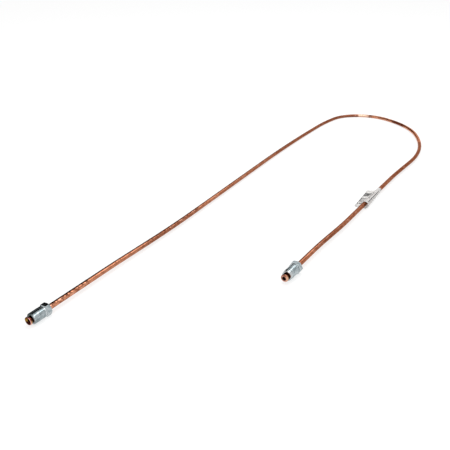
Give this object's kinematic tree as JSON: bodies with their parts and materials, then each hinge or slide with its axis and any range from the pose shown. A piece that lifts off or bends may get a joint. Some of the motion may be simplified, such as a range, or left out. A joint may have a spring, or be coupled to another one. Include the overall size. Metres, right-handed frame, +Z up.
{
  "type": "brake line",
  "caption": "Copper hydraulic pipe bent into a long U, flared at each end, with a threaded steel tube nut held captive behind each flare and a paper flag label.",
  "frame": {"origin": "centre of the object's box on the surface it lies on", "axes": "+Y along the long leg, from its nut towards the bend; +X from the long leg to the short leg; +Z up"},
  "size_m": [0.178, 0.7054, 0.011],
  "materials": {
    "copper": "drawn copper pipe, satin, lightly handled",
    "zinc_plate": "bright zinc plate on turned steel",
    "label_paper": "matte white label paper with plain grey marks"
  },
  "bodies": {
    "line": {"pipe": "copper", "flag_label": "label_paper"},
    "long_nut": {"long_leg_nut": "zinc_plate"},
    "short_nut": {"short_leg_nut": "zinc_plate"}
  },
  "joints": [
    {"name": "long_nut_slide", "type": "slide", "parent": "line", "child": "long_nut", "axis": [0, 1, -0.0041], "range_m": [-0.0015, 0.065]},
    {"name": "short_nut_slide", "type": "slide", "parent": "line", "child": "short_nut", "axis": [0.0454, 0.999, -0.0038], "range_m": [-0.003, 0.03]}
  ]
}
